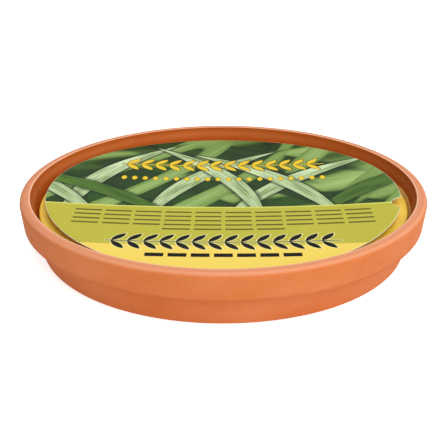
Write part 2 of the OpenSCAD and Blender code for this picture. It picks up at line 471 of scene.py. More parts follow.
        # A slow bow keeps the shapes from lying dead straight
        across = g.math("MULTIPLY_ADD", g.math("SINE", along / bow_length), bow_depth, across)
        shape = g.noise(g.join(along / i["Length"], across / i["Width"], i["Seed"]), 1.0, detail=0.0)
        mask = g.step(shape, start - soft, start + soft)
        fine = g.noise(g.join(along / fine_length, across, i["Seed"]), 0.9, detail=2.0, rough=0.65)
        fine_part = (fine - fine_middle) * fine_share
        bright = g.math("ADD", (shape - start) * contrast, fine_part, clamp=True)
        return {"Colour": g.blend(mask, i["Under"], g.blend(bright, i["Dark"], i["Light"]))}

    @staticmethod
    def _garland(g: Graph, i: dict[str, Term]) -> dict[str, Term]:
        """Distance to a stem with a leaf on each side at every pitch, centred on the point's origin.

        Args:
            g: The group's graph.
            i: The group's inputs.

        Returns:
            The group's outputs.
        """
        cells_left, end_steepness = 200.0, 20.0
        pitch, stem_w = i["Pitch"], i["Stem"]
        x, y, _ = g.parts(i["Point"])
        cell = g.math("MODULO", x + pitch * cells_left, pitch) - pitch * 0.5
        sin, cos = g.math("SINE", i["Tilt"]), g.math("COSINE", i["Tilt"])
        half_l = i["Leaf Length"] * 0.5
        up = abs(y) - g.math("MULTIPLY_ADD", half_l, sin, stem_w * 0.25)
        along = cell * cos + up * sin
        across = up * cos - cell * sin
        half_w = half_l / i["Slimness"]
        bow = (half_l * half_l + half_w * half_w) / (half_w * 2.0)
        leaf = g.vector("LENGTH", g.join(along, abs(across) + (bow - half_w))) - bow
        # Steep, so that the outline of a leaf past the end isn't drawn either
        past_row = (abs(x) - i["Leaves"] * pitch * 0.5) * end_steepness
        leaf = g.math("MAXIMUM", leaf, past_row)
        stem = g.math("MAXIMUM", abs(y) - stem_w * 0.5, abs(x) - i["Length"] * 0.5)
        return {"Distance": g.math("MINIMUM", leaf, stem)}

    @staticmethod
    def _dashes(g: Graph, i: dict[str, Term]) -> dict[str, Term]:
        """Distance to a centred row of dashes.

        Args:
            g: The group's graph.
            i: The group's inputs.

        Returns:
            The group's outputs.
        """
        pitch = i["Pitch"]
        x, y, _ = g.parts(i["Point"])
        row_half = i["Count"] * pitch * 0.5
        cell = g.math("FLOORED_MODULO", x + row_half, pitch) - pitch * 0.5
        across = abs(cell) - (pitch - i["Gap"]) * 0.5
        dash = g.math("MAXIMUM", across, abs(y) - i["Height"] * 0.5)
        return {"Distance": g.math("MAXIMUM", dash, abs(x) - row_half)}

    @staticmethod
    def _inked(g: Graph, i: dict[str, Term]) -> dict[str, Term]:
        """A printed shape with an outline, over what lies under it.

        Args:
            g: The group's graph.
            i: The group's inputs.

        Returns:
            The group's outputs.
        """
        soft = i["Softness"]
        hard = -soft
        outer = 1.0 - g.step(i["Distance"] - i["Outline Width"], hard, soft)
        outlined = g.blend(outer, i["Under"], i["Outline"])
        return {"Colour": g.blend(1.0 - g.step(i["Distance"], hard, soft), outlined, i["Fill"])}


@dataclass
class Sizes:
    """The sizes that more than one piece reads, in metres."""

    rim_r: float
    rim_z: float
    rim_w: float = 6 * MM
    band_h: float = 15.6 * MM
    inner_draft: float = 8 * MM
    floor_z: float = 6.3 * MM
    floor_fillet: float = 8 * MM
    wax_drop: float = 8.9 * MM
    card_gap: float = 8 * MM
    notch_r: float = 8 * MM
    notch_depth: float = 5.3 * MM
    notch_angle: float = math.radians(-11.3)

    def __post_init__(self) -> None:
        """Works out the radii and heights that follow from the given ones."""
        self.band_z = self.rim_z - self.band_h
        self.inner_r = self.rim_r - self.rim_w
        self.floor_r = self.inner_r - self.inner_draft
        self.wax_z = self.rim_z - self.wax_drop
        self.card_r = self.inner_r - self.card_gap
        self.notch_out = self.card_r - self.notch_depth + self.notch_r

    def wall_r(self, z: float) -> float:
        """Gives the radius of the inner wall at a height."""
        return self.inner_r - self.inner_draft * (self.rim_z - z) / (self.rim_z - self.floor_z)


class Coat:
    """A new material with one Principled shader, its graph and the object coordinates."""

    def __init__(self, name: str, **constants: Any) -> None:
        """Starts the material.

        Args:
            name: The material's name.
            **constants: Values for the shader's own sockets, with _ for each space in a name.
        """
        self.material = bpy.data.materials.new(name)
        self.material.use_nodes = True
        self.shader = self.material.node_tree.nodes["Principled BSDF"]
        for label, value in constants.items():
            self.shader.inputs[label.replace("_", " ")].default_value = value
        self.graph = Graph(self.material.node_tree)
        self.place = self.graph.add("ShaderNodeTexCoord")["Object"]

    def set(self, label: str, value: Term) -> None:
        """Feeds one of the shader's inputs."""
        self.graph.feed(self.shader.inputs[label], value)

    def bump(self, height: Term, strength: float, depth: float) -> None:
        """Raises and lowers the surface by a height from 0 to 1 that stands for a depth."""
        inputs = {"Strength": strength, "Distance": depth, "Height": height}
        self.set("Normal", self.graph.add("ShaderNodeBump", inputs)[0])


@dataclass(frozen=True)
class Terracotta:
    """Fired clay with a fine grain and faint turning rings, with painted highlights, sheen and shade on its
    rim and inner wall.
    """

    sizes: Sizes
    body: Colour = srgb(197, 105, 50)
    light: Colour = srgb(226, 150, 104)
    dark: Colour = srgb(160, 72, 28)
    # Painted highlight on the up-facing top of the rim
    top_highlight: Colour = srgb(224, 155, 119)
    # Painted shade of the inner wall, in part oil from the wax
    oil_and_shade: Colour = srgb(166, 74, 5)
    # Painted sheen across the middle of the inner wall
    inner_wall_sheen: Colour = srgb(212, 124, 72)
    # Painted highlight along the rounded inner edge of the rim
    edge: Colour = srgb(248, 204, 176)
    film: Colour = srgb(240, 206, 132)
    slow_size: float = 55 * MM
    fine_size: float = 8 * MM
    grain_size: float = 0.7 * MM
    ring_pitch: float = 1.4 * MM
    slow_share: float = 0.34
    fine_share: float = 0.16
    light_share: float = 0.20
    dark_share: float = 0.12
    ring_share: float = 0.07
    top_highlight_share: float = 0.72
    # Share of the thin line of painted shade across the top of the rim
    shade_line_share: float = 0.28
    # Share of the painted highlight along the inner edge of the rim
    edge_share: float = 0.62
    # Share of the painted shade in the crease under the band
    crease_shade_share: float = 0.35
    oil_and_shade_share: float = 0.92
    film_share: float = 0.8
    film_scale: float = 42.0
    film_rise: float = 3.2 * MM
    ring_relief: float = 0.55
    relief: float = 0.32
    relief_depth: float = 0.22 * MM
    rough: float = 0.72
    top_highlight_rough: float = 0.78
    film_rough: float = 0.4

    def build(self, fx: Effects) -> bpy.types.Material:
        """Builds the material.

        Args:
            fx: The shared shader groups.

        Returns:
            The material.
        """
        coat = Coat("terracotta", Specular_IOR_Level=0.1)
        g, place = coat.graph, coat.place
        slow = g.place(fx.mottle, Point=place, Size=self.slow_size, Stretch=(1, 1, 2.2), Sharpness=1.0)[0]
        fine = g.place(fx.mottle, Point=place, Size=self.fine_size, Stretch=(1, 1, 2.5), Sharpness=0.9)[0]
        grain = g.place(fx.grain, Point=place, Size=self.grain_size, Pits=0.25)
        rings = g.place(fx.rings, Point=place, Pitch=self.ring_pitch)[0]
        base = g.blend(slow * self.slow_share, self.body, self.light)
        base = g.blend(fine * self.fine_share, base, self.dark)
        base = g.blend(grain["Light"] * self.light_share, base, self.light)
        base = g.blend(grain["Dark"] * self.dark_share, base, self.dark)
        base = g.blend(g.step(rings, 0.35, 0.75) * self.ring_share, base, self.light)
        normal = g.add("ShaderNodeNewGeometry")["Normal"]
        x, y, z = g.parts(place)
        radius = g.vector("LENGTH", g.join(x, y))
        outward = g.vector("DOT_PRODUCT", normal, g.vector("NORMALIZE", g.join(x, y)))
        # Painted highlights and a painted line of shade on the rim
        base, top_highlight = self._rim(g, base, g.parts(normal)[2], radius, z)
        # Painted shade in the crease under the band, darker than the faces beside it
        corner = g.near(z, self.sizes.band_z + 0.2 * MM, 0.3 * MM, 2.2 * MM) * g.step(outward, 0.2, 0.6)
        base = g.blend(corner * self.crease_shade_share, base, self.dark)
        inner = g.step(outward, -0.3, -0.7) * g.step(radius, 0.05, 0.08)
        base, film = self._inner_wall(g, base, inner, slow, place)
        coat.set("Base Color", base)
        dry_rough = g.between(top_highlight, self.rough, self.top_highlight_rough)
        coat.set("Roughness", g.between(film, dry_rough, self.film_rough))
        coat.bump(grain["Height"] + rings * self.ring_relief, self.relief, self.relief_depth)
        return coat.material

    def _rim(self, g: Graph, base: Term, up: Term, radius: Term, z: Term) -> tuple[Term, Term]:
        """Gives the rim a painted highlight on its top, a thin line of painted shade and a painted
        highlight along its inner edge.

        Args:
            g: The material's graph.
            base: The clay's colour.
            up: How far the surface faces up.
            radius: Distance from the axis.
            z: Height.

        Returns:
            The colour with the rim on it, and where the bloom is.
        """
        s = self.sizes
        high = g.step(z, s.rim_z - 2.5 * MM, s.rim_z - 0.6 * MM)
        # Painted highlight where the top of the rim faces up
        top_highlight = g.step(up, 0.25, 0.85) * high
        base = g.blend(top_highlight * self.top_highlight_share, base, self.top_highlight)
        # A thin line of painted shade across the top of the rim, where the surface turns
        shade_line = g.near(radius, s.rim_r - 0.42 * s.rim_w, 0.15 * MM, 0.5 * MM) * high
        base = g.blend(shade_line * self.shade_line_share, base, self.body)
        # Painted highlight along the rounded inner edge
        edge = g.near(radius, s.inner_r + 0.55 * MM, 0.15 * MM, 0.75 * MM) * high
        return g.blend(edge * self.edge_share, base, self.edge), top_highlight

    def _inner_wall(self, g: Graph, base: Term, inner: Term, slow: Term, place: Term) -> tuple[Term, Term]:
        """Darkens the inner wall with painted shade and oil from the wax, paints a sheen across its middle,
        and leaves a film of wax on it.

        Args:
            g: The material's graph.
            base: The clay's colour.
            inner: Where the inner wall is.
            slow: The slow unevenness of the clay.
            place: The object coordinates.

        Returns:
            The colour with the inner wall on it, and where the film is.
        """
        s = self.sizes
        x, _, z = g.parts(place)
        # Painted shade on the inner wall, in part oil from the wax
        base = g.blend(inner * self.oil_and_shade_share, base, self.oil_and_shade)
        # Painted sheen across the middle of the inner wall
        middle = g.near(z, (s.rim_z + s.wax_z) / 2 + 0.4 * MM, 0.2 * MM, 3.6 * MM) * inner
        base = g.blend(middle * g.between(slow, 0.15, 0.45), base, self.inner_wall_sheen)
        # The film has an uneven upper edge, and is only on the side where the wax ran up
        ragged = (g.noise(place, self.film_scale, detail=3.0) - 0.45) * self.film_rise
        top = ragged + (s.wax_z + 0.4 * MM)
        film = (1.0 - g.step(z - top, -0.25 * MM, 0.35 * MM)) * inner * g.step(x, 0.02, 0.09)
        return g.blend(film * self.film_share, base, self.film), film


@dataclass(frozen=True)
class CandleWax:
    """Soft yellow wax that lets a little light in."""

    body: Colour = srgb(252, 214, 80)
    deep: Colour = srgb(230, 180, 16)
    cloudy: Colour = srgb(240, 232, 160)
    slow_size: float = 30 * MM
    cloud_size: float = 6 * MM
    deep_share: float = 0.6
    cloud_share: float = 0.08
    cloud_relief: float = 0.3
    relief: float = 0.3
    relief_depth: float = 0.6 * MM

    def build(self, fx: Effects) -> bpy.types.Material:
        """Builds the material.

        Args:
            fx: The shared shader groups.

        Returns:
            The material.
        """
        coat = Coat("candle_wax", Roughness=0.42, Specular_IOR_Level=0.12, Subsurface_Weight=0.3,
                    Subsurface_Radius=(0.006, 0.003, 0.001), Subsurface_Scale=0.6)
        g = coat.graph
        slow = g.place(fx.mottle, Point=coat.place, Size=self.slow_size, Sharpness=1.0)[0]
        cloud = g.place(fx.mottle, Point=coat.place, Size=self.cloud_size, Sharpness=1.2)[0]
        base = g.blend(slow * self.deep_share, self.body, self.deep)
        coat.set("Base Color", g.blend(cloud * self.cloud_share, base, self.cloudy))
        coat.bump(slow + cloud * self.cloud_relief, self.relief, self.relief_depth)
        return coat.material


@dataclass(frozen=True)
class Plain:
    """A finish of one colour with a slight unevenness."""

    name: str
    colour: Colour
    rough: float
    grain: float
    metal: float = 0.0
    dimmed: float = 0.86
    relief: float = 0.25
    relief_depth: float = 0.1 * MM

    def build(self, fx: Effects) -> bpy.types.Material:
        """Builds the material.

        Args:
            fx: The shared shader groups.

        Returns:
            The material.
        """
        coat = Coat(self.name, Roughness=self.rough, Metallic=self.metal)
        cloud = coat.graph.place(fx.mottle, Point=coat.place, Size=self.grain, Sharpness=1.0)[0]
        dim = tuple(part * self.dimmed for part in self.colour[:3]) + (1.0,)
        coat.set("Base Color", coat.graph.blend(cloud, self.colour, dim))
        coat.bump(cloud, self.relief, self.relief_depth)
        return coat.material


CARD_CORE = Plain("card_core", srgb(244, 239, 224), rough=0.8, grain=2 * MM)
WICK_COTTON = Plain("wick_cotton", srgb(240, 232, 212), rough=0.9, grain=0.8 * MM)
TIN = Plain("tin", srgb(200, 200, 196), rough=0.32, grain=4 * MM, metal=1.0)


class Ink(Enum):
    """The inks of the print, as linear colours."""

    YELLOW = srgb(236, 208, 96)
    OLIVE = srgb(180, 176, 62)
    RULE = srgb(222, 220, 112)
    GLARE = srgb(214, 231, 184)
    LIGHT = srgb(164, 192, 116)
    MIDDLE = srgb(88, 122, 48)
    DARK = srgb(42, 74, 26)
    DEEP = srgb(18, 36, 18)
    SHADE = srgb(24, 42, 22)
    GOLD = srgb(236, 200, 50)
    BLACK = srgb(12, 10, 4)
    CREAM = srgb(240, 232, 160)
    DASH = srgb(92, 92, 34)


@dataclass(frozen=True)
class Streaks:
    """A layer of blurred streaks: its angle in degrees, its sizes and its two inks."""

    angle: float
    width: float
    length: float
    start: float
    soft: float
    light: Ink
    dark: Ink
    seed: float


@dataclass(frozen=True)
class Leaf:
    """One long leaf of the print, in the print's own millimetres."""

    root: Point3
    tip: Point3
    bow: float
    light: Ink
    dark: Ink


@dataclass(frozen=True)
class Garland:
    """A row of small leaves with their outline, in the print's own millimetres.

    A stem_l below 0 leaves the stem out.
    """

    y: float
    leaves: int
    stem_l: float
    stem_w: float
    leaf_l: float
    pitch: float
    fill: Ink
    outline: Ink
    outline_w: float
    soft: float
    slimness: float = 3.0
    tilt: float = 52.0
    one_sided: bool = False


@dataclass(frozen=True)
class DashRow:
    """A centred row of dashes, in the print's own millimetres."""

    y: float
    count: int
    length: float
    height: float
    fill: Ink


@dataclass
class Artwork:
    """The print's layout, in the millimetres it is drawn at for a card of radius art_r."""

    sizes: Sizes
    art_r: float = 101.0
    yellow_h: float = 31.5
    olive_h: float = 51.0
    rule_h: float = 1.2
    leaf_w: float = 12.0
    leaf_l: float = 140.0
    leaf_bow: float = 15.0
    leaf_soft: float = 0.22
    leaf_shadow: float = 0.85
    leaf_count: int = 9
    dark_leaves: tuple[int, ...] = (3, 6)
    lean_least: float = 24.0
    lean_span: float = 40.0
    lean_turn: float = 0.618
    root_pitch: float = 22.0
    root_depth: float = 24.0
    pitch_share: float = 0.72
    stem_share: float = 1 / 12
    gold_l: float = 126.0
    gold_leaf_l: float = 12.0
    gold_count: int = 14
    gold_up: float = 68.0
    small_count: int = 20
    small_drop: float = 24.0
    small_leaf_l: float = 6.5
    no_stem_l: float = -20.0
    dark_l: float = 121.0
    dark_leaf_l: float = 11.5
    dark_count: int = 14
    dark_up: float = 35.5
    dash_drop: float = 8.0
    dash_pitch: float = 5.7
    dash_h: float = 1.8
    dash_l: float = 162.0
    dash_gap: float = 2.2
    dash_counts: tuple[int, ...] = (10, 10, 10, 10, 4)
    low_dash_l: float = 78.0
    low_dash_h: float = 4.0
    low_dash_up: float = 20.0
    low_dash_count: int = 7
    streaks: tuple[Streaks, ...] = (
        Streaks(22.0, 26.0, 150.0, 0.50, 0.06, Ink.LIGHT, Ink.MIDDLE, 2.1),
        Streaks(150.0, 21.0, 130.0, 0.52, 0.05, Ink.DARK, Ink.DEEP, 9.4),
        Streaks(62.0, 17.0, 150.0, 0.585, 0.015, Ink.LIGHT, Ink.MIDDLE, 16.7),
    )

    def __post_init__(self) -> None:
        """Works out the heights of the fields from the near edge up, and the notch."""
        s = self.sizes
        self.per_metre = self.art_r / s.card_r
        self.olive_y = self.yellow_h - self.art_r
        self.picture_y = self.olive_y + self.olive_h
        self.notch_r = s.notch_r * self.per_metre
        out = s.notch_out * self.per_metre
        self.notch_centre = (out * math.cos(s.notch_angle), out * math.sin(s.notch_angle), 0.0)

    def leaves(self) -> Iterator[Leaf]:
        """Gives the long leaves that lie in front.

        Yields:
            Each leaf, from left to right, leaning right and left by turns.
        """
        for number in range(self.leaf_count):
            side = 1 if number % 2 == 0 else -1
            lean = self.lean_least + self.lean_span * (number * self.lean_turn % 1.0)
            angle = math.radians(90 - side * lean)
            x = (number - (self.leaf_count - 1) / 2) * self.root_pitch
            y = self.picture_y - self.root_depth
            tip = (x + self.leaf_l * math.cos(angle), y + self.leaf_l * math.sin(angle), 0.0)
            light, dark = (Ink.MIDDLE, Ink.DARK) if number in self.dark_leaves else (Ink.GLARE, Ink.MIDDLE)
            yield Leaf((x, y, 0.0), tip, side * self.leaf_bow, light, dark)

    def gold_garlands(self) -> tuple[Garland, Garland]:
        """Gives the gold garland on its stem and the row of small leaves below it.

        Returns:
            The garland, and then the row.
        """
        y = self.picture_y + self.gold_up
        small_y = y - self.small_drop - self.small_leaf_l / 2
        return (
            Garland(y, self.gold_count, self.gold_l, self.gold_leaf_l * self.stem_share, self.gold_leaf_l,
                    self.gold_leaf_l * self.pitch_share, Ink.GOLD, Ink.BLACK, outline_w=0.5, soft=0.2),
            Garland(small_y, self.small_count, self.no_stem_l, 0.0, self.small_leaf_l,
                    self.gold_l / self.small_count, Ink.GOLD, Ink.BLACK, outline_w=0.25, soft=0.2,
                    slimness=2.0, tilt=90.0, one_sided=True))

    def dark_garland(self) -> Garland:
        """Gives the dark garland across the yellow and olive fields."""
        return Garland(
            self.dark_up - self.art_r, self.dark_count, self.dark_l, self.dark_leaf_l * self.stem_share,
            self.dark_leaf_l, self.dark_leaf_l * self.pitch_share, Ink.BLACK, Ink.CREAM,
            outline_w=0.45, soft=0.18)

    def dash_rows(self) -> Iterator[DashRow]:
        """Gives the rows of fine dashes on the olive field.

        Yields:
            Each row, from the top down.
        """
        for number, count in enumerate(self.dash_counts):
            y = self.picture_y - self.dash_drop - number * self.dash_pitch
            yield DashRow(y, count, self.dash_l * count / self.dash_counts[0], self.dash_h, Ink.DASH)

    def low_dash_row(self) -> DashRow:
        """Gives the row of thick dashes on the yellow field."""
        y = self.low_dash_up - self.art_r
        return DashRow(y, self.low_dash_count, self.low_dash_l, self.low_dash_h, Ink.BLACK)


class CardPrint:
    """The printed face of the card.

    The patches are given by their size, their stretch and their sharpness.
    """

    slow_patches = (26.0, (1, 0.5, 1), 1.4)
    fine_patches = (7.0, (1, 0.35, 1), 1.4)
    fine_share = 0.5
    olive_patches = (40.0, EVEN, 0.8)
    olive_share = 0.12
    picture_soft = 0.12
    olive_soft = 0.15
    rule_soft = 0.2
    worn_share = 0.5
    worn_from = 0.1
    worn_to = 0.5
    tooth_scale = 2500.0
    tooth_relief = 0.06
    tooth_depth = 0.1 * MM
    ink_soft = 0.18

    def __init__(self, fx: Effects, art: Artwork) -> None:
        """Starts the material and finds the point in the print's own millimetres.

        Args:
            fx: The shared shader groups.
            art: The print's layout.
        """
        self.fx = fx
        self.art = art
        self.coat = Coat("card_print", Roughness=0.55, Specular_IOR_Level=0.06)
        self.graph = self.coat.graph
        x, y, _ = self.graph.parts(self.coat.place)
        self.point = self.graph.vector("SCALE", self.graph.join(x, y), scale=art.per_metre)
        self.up = self.graph.parts(self.point)[1]

    def build(self) -> bpy.types.Material:
        """Builds the material.

        Returns:
            The material.
        """
        g, art = self.graph, self.art
        picture = self._picture()
        for garland in art.gold_garlands():
            picture = self._garland(picture, garland)
        colour = g.blend(self._above(art.picture_y, self.picture_soft), self._fields(), picture)
        # The print is worn off along the cut edge
        from_edge = art.art_r - g.vector("LENGTH", self.point)
        from_notch = g.vector("DISTANCE", self.point, art.notch_centre) - art.notch_r
        bare = 1.0 - g.step(g.math("MINIMUM", from_edge, from_notch), self.worn_from, self.worn_to)
        self.coat.set("Base Color", g.blend(bare * self.worn_share, colour, CARD_CORE.colour))
        tooth = g.noise(self.coat.place, self.tooth_scale, detail=1.0)
        self.coat.bump(tooth, self.tooth_relief, self.tooth_depth)
        return self.coat.material

    def _above(self, height: float, soft: float) -> Term:
        """Is 1 above a height of the print and 0 below it, with a soft edge between."""
        return self.graph.step(self.up, height - soft, height + soft)

    def _mottle(self, size: float, stretch: Point3, sharpness: float) -> Term:
        """Gives slow, uneven change over the print."""
        return self.graph.place(
            self.fx.mottle, Point=self.point, Size=size, Stretch=stretch, Sharpness=sharpness)[0]

    def _picture(self) -> Term:
        """Draws long leaves over streaks and a dark ground.

        Returns:
            The picture's colour.
        """
        g, art = self.graph, self.art
        slow = self._mottle(*self.slow_patches)
        fine = self._mottle(*self.fine_patches)
        colour = g.blend(slow, Ink.DEEP.value, Ink.DARK.value)
        colour = g.blend(fine * self.fine_share, colour, Ink.DARK.value)
        for layer in art.streaks:
            colour = g.place(
                self.fx.streaks, Under=colour, Point=self.point, Angle=math.radians(layer.angle),
                Width=layer.width, Length=layer.length, Start=layer.start, Softness=layer.soft,
                Light=layer.light.value, Dark=layer.dark.value, Seed=layer.seed)[0]
        for leaf in art.leaves():
            colour = g.place(
                self.fx.leaf, Under=colour, Point=self.point, Root=leaf.root, Tip=leaf.tip,
                Width=art.leaf_w, Bow=leaf.bow, Softness=art.leaf_soft, Light=leaf.light.value,
                Dark=leaf.dark.value, Shade=Ink.SHADE.value, Shadow=art.leaf_shadow)[0]
        return colour

    def _fields(self) -> Term:
        """Draws the olive and yellow fields with their rule, dashes and dark garland.

        Returns:
            The fields' colour.
        """
        g, art = self.graph, self.art
        patches = self._mottle(*self.olive_patches) * self.olive_share
        olive = g.blend(patches, Ink.OLIVE.value, Ink.YELLOW.value)
        colour = g.blend(self._above(art.olive_y, self.olive_soft), Ink.YELLOW.value, olive)
        in_rule = self._above(art.picture_y - art.rule_h, self.rule_soft)
        colour = g.blend(in_rule, colour, Ink.RULE.value)
        for row in art.dash_rows():
            colour = self._dashes(colour, row)
        colour = self._garland(colour, art.dark_garland())
        return self._dashes(colour, art.low_dash_row())

    def _garland(self, under: Term, row: Garland) -> Term:
        """Draws one garland.

        Args:
            under: The colour under it.
            row: The garland.

        Returns:
            The colour with the garland on it.
        """
        g = self.graph
        moved = g.vector("SUBTRACT", self.point, (0, row.y, 0))
        distance = g.place(
            self.fx.garland, Point=moved, Leaves=float(row.leaves), Length=row.stem_l,
            Leaf_Length=row.leaf_l, Slimness=row.slimness, Pitch=row.pitch,
            Tilt=math.radians(row.tilt), Stem=row.stem_w)[0]
        if row.one_sided:
            distance = g.math("MAXIMUM", distance, -g.parts(moved)[1])
        return g.place(self.fx.inked, Under=under, Distance=distance, Fill=row.fill.value,
                       Outline=row.outline.value, Outline_Width=row.outline_w, Softness=row.soft)[0]

    def _dashes(self, under: Term, row: DashRow) -> Term:
        """Draws one row of dashes.

        Args:
            under: The colour under it.
            row: The row.

        Returns:
            The colour with the row on it.
        """
        g, gap = self.graph, self.art.dash_gap
        distance = g.place(
            self.fx.dashes, Point=g.vector("SUBTRACT", self.point, (0, row.y, 0)),
            Count=float(row.count), Pitch=(row.length + gap) / row.count, Gap=gap, Height=row.height)[0]
        return g.place(self.fx.inked, Under=under, Distance=distance, Fill=row.fill.value,
                       Outline=row.fill.value, Outline_Width=0.0, Softness=self.ink_soft)[0]


def rounded_profile(corners: Sequence[Corner], steps: int = 8) -> Profile:
    """Rounds the corners of an open profile.

    Args:
        corners: Each corner's radius, height and rounding; the first and last lie on the axis.
        steps: Segments of each rounding.

    Returns:
        The profile's points.
    """
    points: Profile = []
    for number, (r, z, rounding) in enumerate(corners):
        if not rounding:
            points.append((r, z))
            continue
        at = Vector((r, z))
        back = (Vector(corners[number - 1][:2]) - at).normalized()
        ahead = (Vector(corners[number + 1][:2]) - at).normalized()
        half = math.acos(back.dot(ahead)) / 2
        middle = at + (back + ahead).normalized() * (rounding / math.sin(half))
        start = at + back * (rounding / math.tan(half)) - middle
        turn = math.copysign(math.pi - 2 * half, back.y * ahead.x - back.x * ahead.y)
        for step in range(steps + 1):
            cos, sin = math.cos(turn * step / steps), math.sin(turn * step / steps)
            points.append((middle.x + start.x * cos - start.y * sin,
                           middle.y + start.x * sin + start.y * cos))
    return points


def spaced(profile: Profile, gap: float) -> Profile:
    """Adds points along the straight stretches of a profile.

    Args:
        profile: The profile.
        gap: The longest distance between two points.

    Returns:
        The profile with the added points.
    """
    result = [profile[0]]
    for before, after in zip(profile, profile[1:]):
        parts = max(1, math.ceil(math.dist(before, after) / gap))
        for part in range(1, parts + 1):
            share = part / parts
            result.append((before[0] + (after[0] - before[0]) * share,
                           before[1] + (after[1] - before[1]) * share))
    return result


def linked_object(name: str, data: Any) -> bpy.types.Object:
    """Makes an object of some data and links it to the scene.

    Args:
        name: The object's name.
        data: Its mesh, light or camera.

    Returns:
        The object.
    """
    obj = bpy.data.objects.new(name, data)
    bpy.context.scene.collection.objects.link(obj)
    return obj


def mesh_object(name: str, points: Sequence[Point3], faces: Sequence[Sequence[int]],
                edges: Sequence[Sequence[int]] = ()) -> bpy.types.Object:
    """Makes an object at the origin from points and faces.

    Args:
        name: The object's name.
        points: The places of its vertices.
        faces: The vertices of each face.
        edges: The vertices of each loose edge.

    Returns:
        The object, linked to the scene.
    """
    mesh = bpy.data.meshes.new(name)
    mesh.from_pydata(points, edges, faces)
    mesh.update()
    return linked_object(name, mesh)


def path_object(name: str, points: Sequence[Point3]) -> bpy.types.Object:
    """Makes an object of loose edges that join points in their order."""
    return mesh_object(name, points, (), [(n, n + 1) for n in range(len(points) - 1)])


def face_outward(obj: bpy.types.Object) -> None:
    """Turns every face of a closed mesh outward.

    Args:
        obj: The object.
    """
    work = bmesh.new()
    work.from_mesh(obj.data)
    bmesh.ops.recalc_face_normals(work, faces=work.faces)
    if work.calc_volume(signed=True) < 0:
        bmesh.ops.reverse_faces(work, faces=work.faces)
    work.to_mesh(obj.data)
    work.free()


class ShapeTree:
    """A Geometry Nodes tree with named inputs, applied to an object as a modifier."""

    def __init__(self, name: str, body: Callable[[Graph, dict[str, Term]], Term], **inputs: Kind) -> None:
        """Builds the tree.

        Args:
            name: The tree's name.
            body: Adds the nodes and returns the resulting geometry.
            **inputs: The kind of each input after the geometry, with _ for each space in its name.
        """
        self.tree = bpy.data.node_groups.new(name, "GeometryNodeTree")
        face = self.tree.interface
        face.new_socket("Geometry", in_out="INPUT", socket_type=Kind.GEOMETRY.value)
        self.keys = {}
        for label, kind in (inputs | {"Material": Kind.MATERIAL}).items():
            socket = face.new_socket(label.replace("_", " "), in_out="INPUT", socket_type=kind.value)
            self.keys[label] = socket.identifier
        face.new_socket("Geometry", in_out="OUTPUT", socket_type=Kind.GEOMETRY.value)
        graph = Graph(self.tree)
        start = graph.add("NodeGroupInput")
        real = graph.add("GeometryNodeRealizeInstances", {0: body(graph, start)})[0]
        dressed = graph.add("GeometryNodeSetMaterial", {"Geometry": real, "Material": start["Material"]})[0]
        graph.feed(self.tree.nodes.new("NodeGroupOutput").inputs[0], dressed)

    def grow(self, source: bpy.types.Object, name: str, **values: Any) -> bpy.types.Object:
        """Turns a source object into the finished piece.

        Args:
            source: The object that the tree reads; it is removed.
            name: The finished piece's name.
            **values: The tree's inputs, with _ for each space in a name.

        Returns:
            The finished piece, linked to the scene.
        """
        modifier = source.modifiers.new(name, "NODES")
        modifier.node_group = self.tree
        for label, value in values.items():
            modifier[self.keys[label]] = value
        bpy.context.view_layer.update()
        solved = source.evaluated_get(bpy.context.evaluated_depsgraph_get())
        mesh = bpy.data.meshes.new_from_object(solved)
        bpy.data.objects.remove(source)
        mesh.name = name
        obj = linked_object(name, mesh)
        face_outward(obj)
        return obj


def turned_body(g: Graph, i: dict[str, Term]) -> Term:
    """Turns a profile about the axis, closes it and makes its skin slightly uneven.

    Args:
        g: The tree's graph.
        i: The tree's inputs.

    Returns:
        The turned geometry.
    """
    merge_distance = 0.01 * MM
    position = g.add("GeometryNodeInputPosition")[0]
    rows = g.add("GeometryNodeAttributeDomainSize", {0: i["Geometry"]})["Point Count"]
    grid = g.add("GeometryNodeMeshGrid", {"Vertices X": i["Segments"] + 1.0, "Vertices Y": rows})["Mesh"]
    index = g.add("GeometryNodeInputIndex")[0]
    column = g.math("FLOOR", (index + 0.5) / rows)
    read = g.add(
        "GeometryNodeSampleIndex",
        {"Geometry": i["Geometry"], "Value": position, "Index": index - column * rows},
        data_type="FLOAT_VECTOR", domain="POINT", clamp=True)[0]
    radius, _, height = g.parts(read)
    angle = column / i["Segments"] * math.tau
    place = g.join(radius * g.math("COSINE", angle), radius * g.math("SINE", angle), height)
    turned = g.add("GeometryNodeSetPosition", {"Geometry": grid, "Position": place})[0]
    closed = g.add("GeometryNodeMergeByDistance", {"Geometry": turned, "Distance": merge_distance})[0]
    spot = g.vector("ADD", position, g.join(i["Seed"]))
    push = (g.noise(spot, 1.0 / i["Uneven Size"], detail=2.0) - 0.5) * i["Unevenness"]
    offset = g.vector("SCALE", g.add("GeometryNodeInputNormal")[0], scale=push)
    moved = g.add("GeometryNodeSetPosition", {"Geometry": closed, "Offset": offset})[0]
    return g.add("GeometryNodeSetShadeSmooth", {"Geometry": moved, "Shade Smooth": True})[0]


